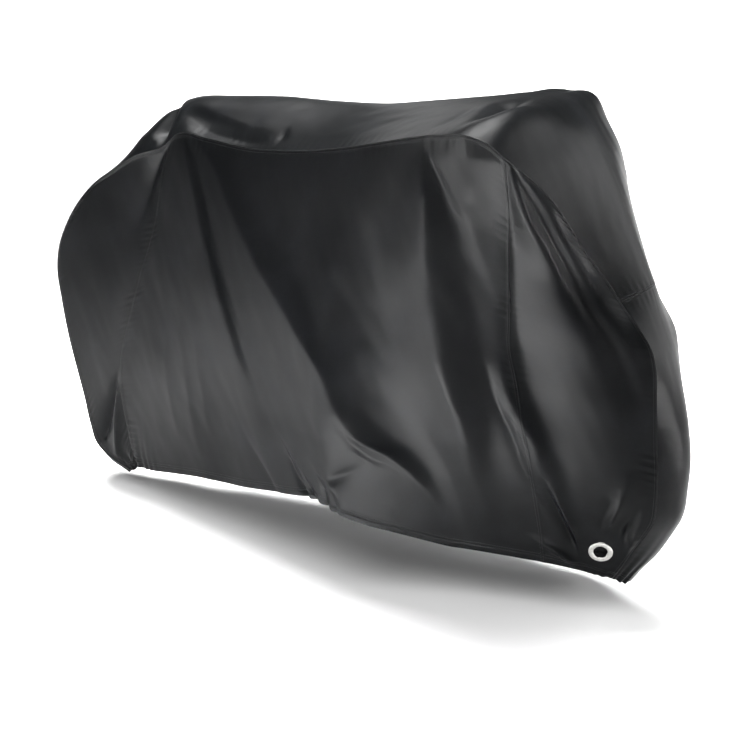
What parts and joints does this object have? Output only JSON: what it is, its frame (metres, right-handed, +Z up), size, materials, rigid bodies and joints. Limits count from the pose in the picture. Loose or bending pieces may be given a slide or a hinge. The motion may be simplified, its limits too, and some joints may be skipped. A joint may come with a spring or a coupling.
{
  "type": "bicycle cover",
  "caption": "Fitted black nylon cover in the shape in which it hangs over a bicycle, open below, with a lock eyelet low on each front panel.",
  "frame": {"origin": "under the top of the gusset at the middle of the wheelbase, where the bicycle's top tube and cables hold the cloth up", "axes": "+X to the front wheel, +Y to the far side, +Z up"},
  "size_m": [1.676, 0.6384, 1.0671],
  "materials": {
    "cloth": "charcoal black coated nylon with a soft sheen",
    "eyelet": "polished nickel plated brass"
  },
  "bodies": {
    "root": {"gusset_top": "cloth", "gusset_front": "cloth", "side_rear_near": "cloth", "side_middle_near": "cloth", "side_front_near": "cloth", "side_rear_far": "cloth", "side_middle_far": "cloth", "side_front_far": "cloth", "eyelet_near": "eyelet", "eyelet_far": "eyelet"}
  },
  "joints": []
}
